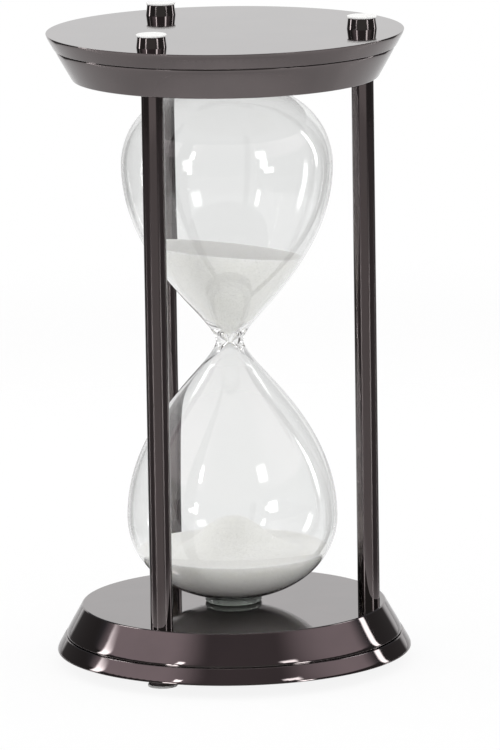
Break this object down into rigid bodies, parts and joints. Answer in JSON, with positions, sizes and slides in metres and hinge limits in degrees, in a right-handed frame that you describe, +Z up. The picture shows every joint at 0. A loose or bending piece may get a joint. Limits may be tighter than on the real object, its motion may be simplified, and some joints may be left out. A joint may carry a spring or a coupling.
{
  "type": "hourglass",
  "caption": "Hourglass: a two-bulb blown glass with white sand, held between round dark metal end plates by polished rods, with padded feet so that it stands on either end.",
  "frame": {"origin": "under the middle of the base, level with the underside of the base pads, on the axis of the glass", "axes": "+Z up along the axis of the glass, +X towards the right rod, and the picture looks along +Y"},
  "size_m": [0.1518, 0.1518, 0.2782],
  "materials": {
    "plate_metal": "mirror polished, black nickel plated",
    "rod_metal": "mirror polished, black nickel plated",
    "screw_steel": "plain zinc plated steel",
    "clear_glass": "clear blown glass",
    "clear_silicone": "translucent soft silicone",
    "white_pad": "matt white",
    "white_sand": "fine loose white sand"
  },
  "bodies": {
    "frame": {"base_cap": "plate_metal", "base_dish": "plate_metal", "base_seat_ring": "clear_silicone", "base_screws": "screw_steel", "base_foot_right": "rod_metal", "base_pad_right": "white_pad", "base_foot_back": "rod_metal", "base_pad_back": "white_pad", "base_foot_front": "rod_metal", "base_pad_front": "white_pad", "top_cap": "plate_metal", "top_dish": "plate_metal", "top_seat_ring": "clear_silicone", "top_screws": "screw_steel", "top_foot_right": "rod_metal", "top_pad_right": "white_pad", "top_foot_back": "rod_metal", "top_pad_back": "white_pad", "top_foot_front": "rod_metal", "top_pad_front": "white_pad", "column_right": "rod_metal", "column_back": "rod_metal", "column_front": "rod_metal"},
    "glass": {"upper_bulb": "clear_glass", "lower_bulb": "clear_glass", "filling_plug": "clear_silicone", "upper_sand": "white_sand", "lower_sand": "white_sand"}
  },
  "joints": [
    {"name": "glass_turn", "type": "hinge", "parent": "frame", "child": "glass", "pos_m": [0, 0, 0.1391], "axis": [0, 0, 1], "continuous": true}
  ]
}
